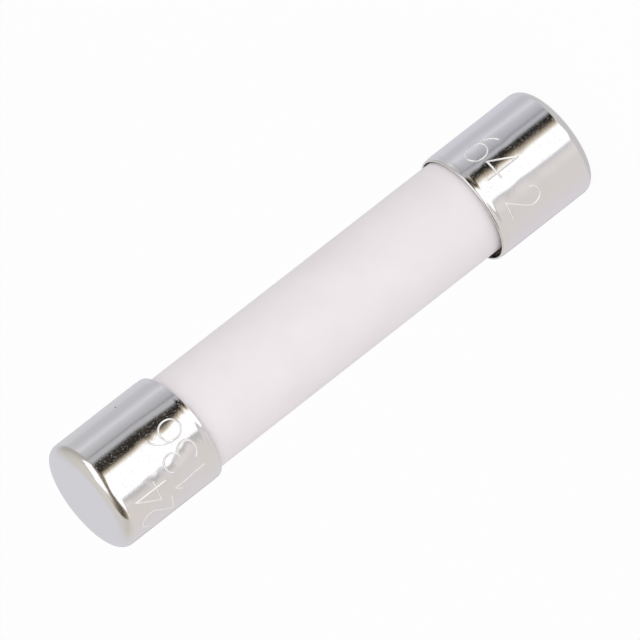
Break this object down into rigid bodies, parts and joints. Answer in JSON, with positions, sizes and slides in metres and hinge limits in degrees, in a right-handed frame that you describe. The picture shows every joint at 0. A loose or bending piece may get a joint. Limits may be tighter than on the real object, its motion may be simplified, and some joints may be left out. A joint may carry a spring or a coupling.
{
  "type": "electrical fuse",
  "caption": "Cartridge fuse: a white ceramic tube closed by a bright metal cap at each end, with a notched strip in sand inside. It stands on one cap.",
  "frame": {"origin": "on the tube's axis, at the flat end of the lower cap, which the fuse stands on", "axes": "+Z along the tube's axis from the lower cap to the upper cap; +X is the side that the upper cap leans to and -X the side that the lower cap leans to; the side at -Y faces the picture's camera"},
  "size_m": [0.0064, 0.0064, 0.032],
  "materials": {
    "cap_plating": "polished",
    "ceramic": "matte",
    "strip_metal": "satin",
    "tin": "satin",
    "sand": "matte",
    "solder": "satin",
    "fibre": "matte",
    "cement": "matte"
  },
  "bodies": {
    "root": {"top_cap": "cap_plating", "bottom_cap": "cap_plating", "ceramic_tube": "ceramic", "fuse_strip": "strip_metal", "tin_spot": "tin", "sand_filling": "sand", "top_solder": "solder", "bottom_solder": "solder", "top_washer": "fibre", "bottom_washer": "fibre", "top_cement": "cement", "bottom_cement": "cement"}
  },
  "joints": []
}
